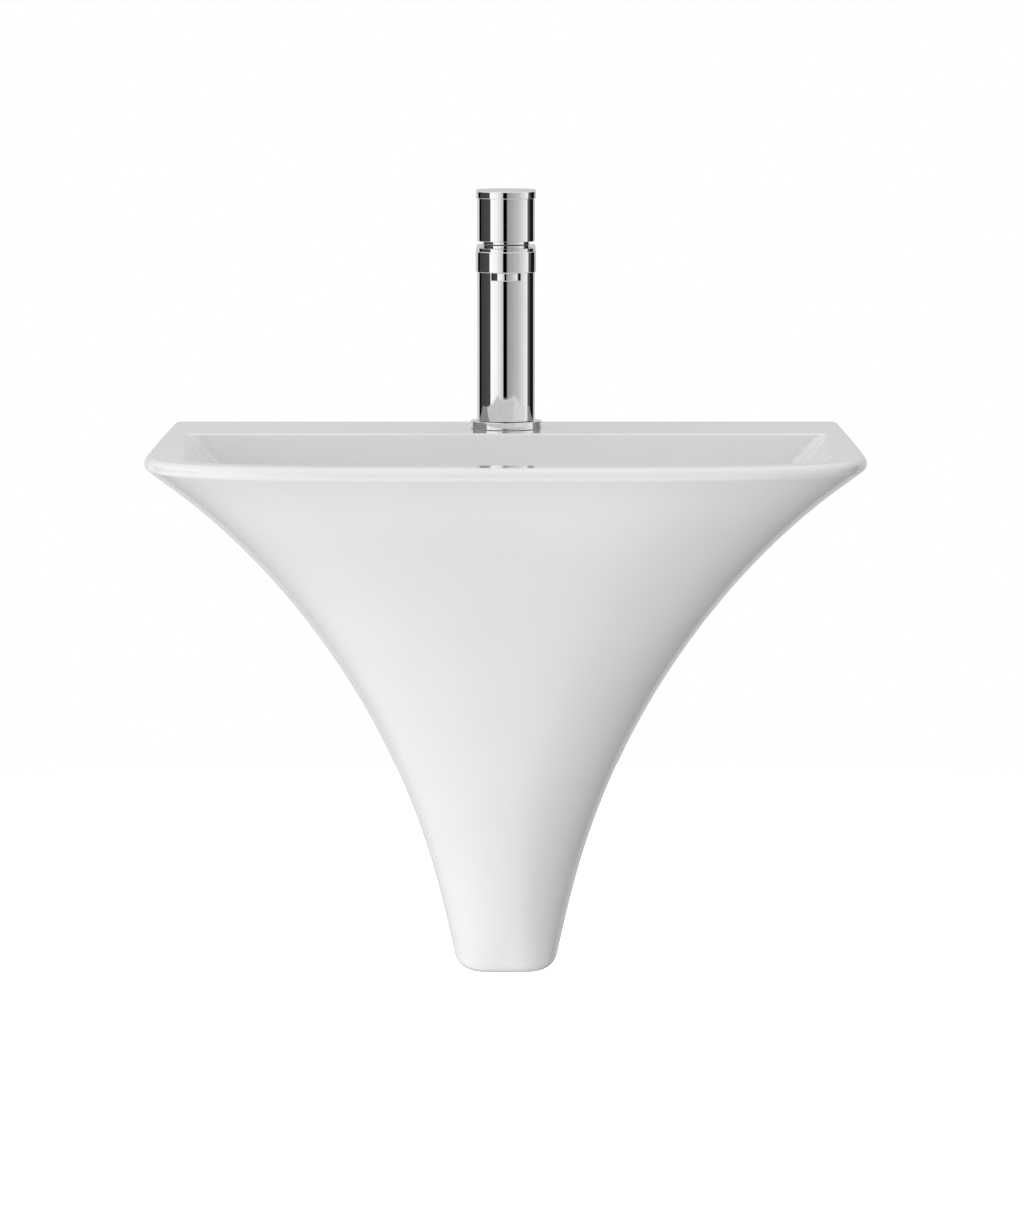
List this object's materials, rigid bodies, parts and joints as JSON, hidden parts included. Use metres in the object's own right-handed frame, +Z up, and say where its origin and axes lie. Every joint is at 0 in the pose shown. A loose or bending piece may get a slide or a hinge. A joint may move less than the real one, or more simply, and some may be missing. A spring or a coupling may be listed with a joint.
{
  "type": "washbasin with mixer tap",
  "caption": "Wall-hung ceramic washbasin flowing down into a slim integral shroud, with a flat-spout lever tap, push-button waste, overflow ring, trap and wall bolts.",
  "frame": {"origin": "on the wall face, halfway between the two wall bolts", "axes": "+Z up, +Y into the wall, so the basin faces -Y, and +X to the user's right"},
  "size_m": [0.5582, 0.5207, 0.6387],
  "materials": {
    "ceramic": "white gloss glaze",
    "chrome": "polished plate",
    "brass": "machined",
    "steel": "zinc-plated",
    "rubber": "moulded",
    "white_plastic": "moulded",
    "grey_plastic": "moulded"
  },
  "bodies": {
    "sink": {"basin_body": "ceramic", "overflow_ring": "chrome", "waste_body": "chrome", "waste_upper_seal": "rubber", "waste_lower_seal": "rubber", "waste_lock_nut": "brass", "waste_spider": "white_plastic", "trap_inlet_seal": "rubber", "trap_inlet_nut": "white_plastic", "trap_elbow": "white_plastic", "trap_body": "white_plastic", "trap_cup": "white_plastic", "trap_cup_seal": "rubber", "trap_body_nut": "white_plastic", "trap_outlet_nut": "white_plastic", "trap_outlet_pipe": "white_plastic", "wall_rosette": "chrome", "wall_bolt_left": "steel", "wall_bolt_right": "steel", "bolt_sleeve_left": "grey_plastic", "bolt_sleeve_right": "grey_plastic", "bolt_washer_left": "steel", "bolt_washer_right": "steel", "bolt_nut_left": "steel", "bolt_nut_right": "steel", "tap_base_seal": "rubber", "tap_base_flange": "chrome", "tap_column": "chrome", "hot_inlet_tail": "brass", "cold_inlet_tail": "brass", "clamp_stud": "steel", "clamp_gasket": "rubber", "clamp_plate": "steel", "clamp_nut": "brass", "tap_spout": "chrome", "aerator_housing": "chrome", "aerator_insert": "grey_plastic", "aerator_seal": "rubber", "cartridge_body": "white_plastic", "cartridge_nut": "brass", "neck_collar": "chrome"},
    "handle": {"handle_body": "chrome", "lever_plate": "chrome", "cartridge_stem": "brass", "grub_screw": "steel", "grub_screw_cap": "grey_plastic"},
    "plug": {"plug_cap": "chrome", "plug_spindle": "brass"}
  },
  "joints": [
    {"name": "handle_turn", "type": "hinge", "parent": "sink", "child": "handle", "pos_m": [0, -0.0715, 0.25], "axis": [0, 0, -1], "range_deg": [0, 100]},
    {"name": "plug_press", "type": "slide", "parent": "sink", "child": "plug", "axis": [0, 0, 1], "range_m": [0, 0.008]}
  ]
}
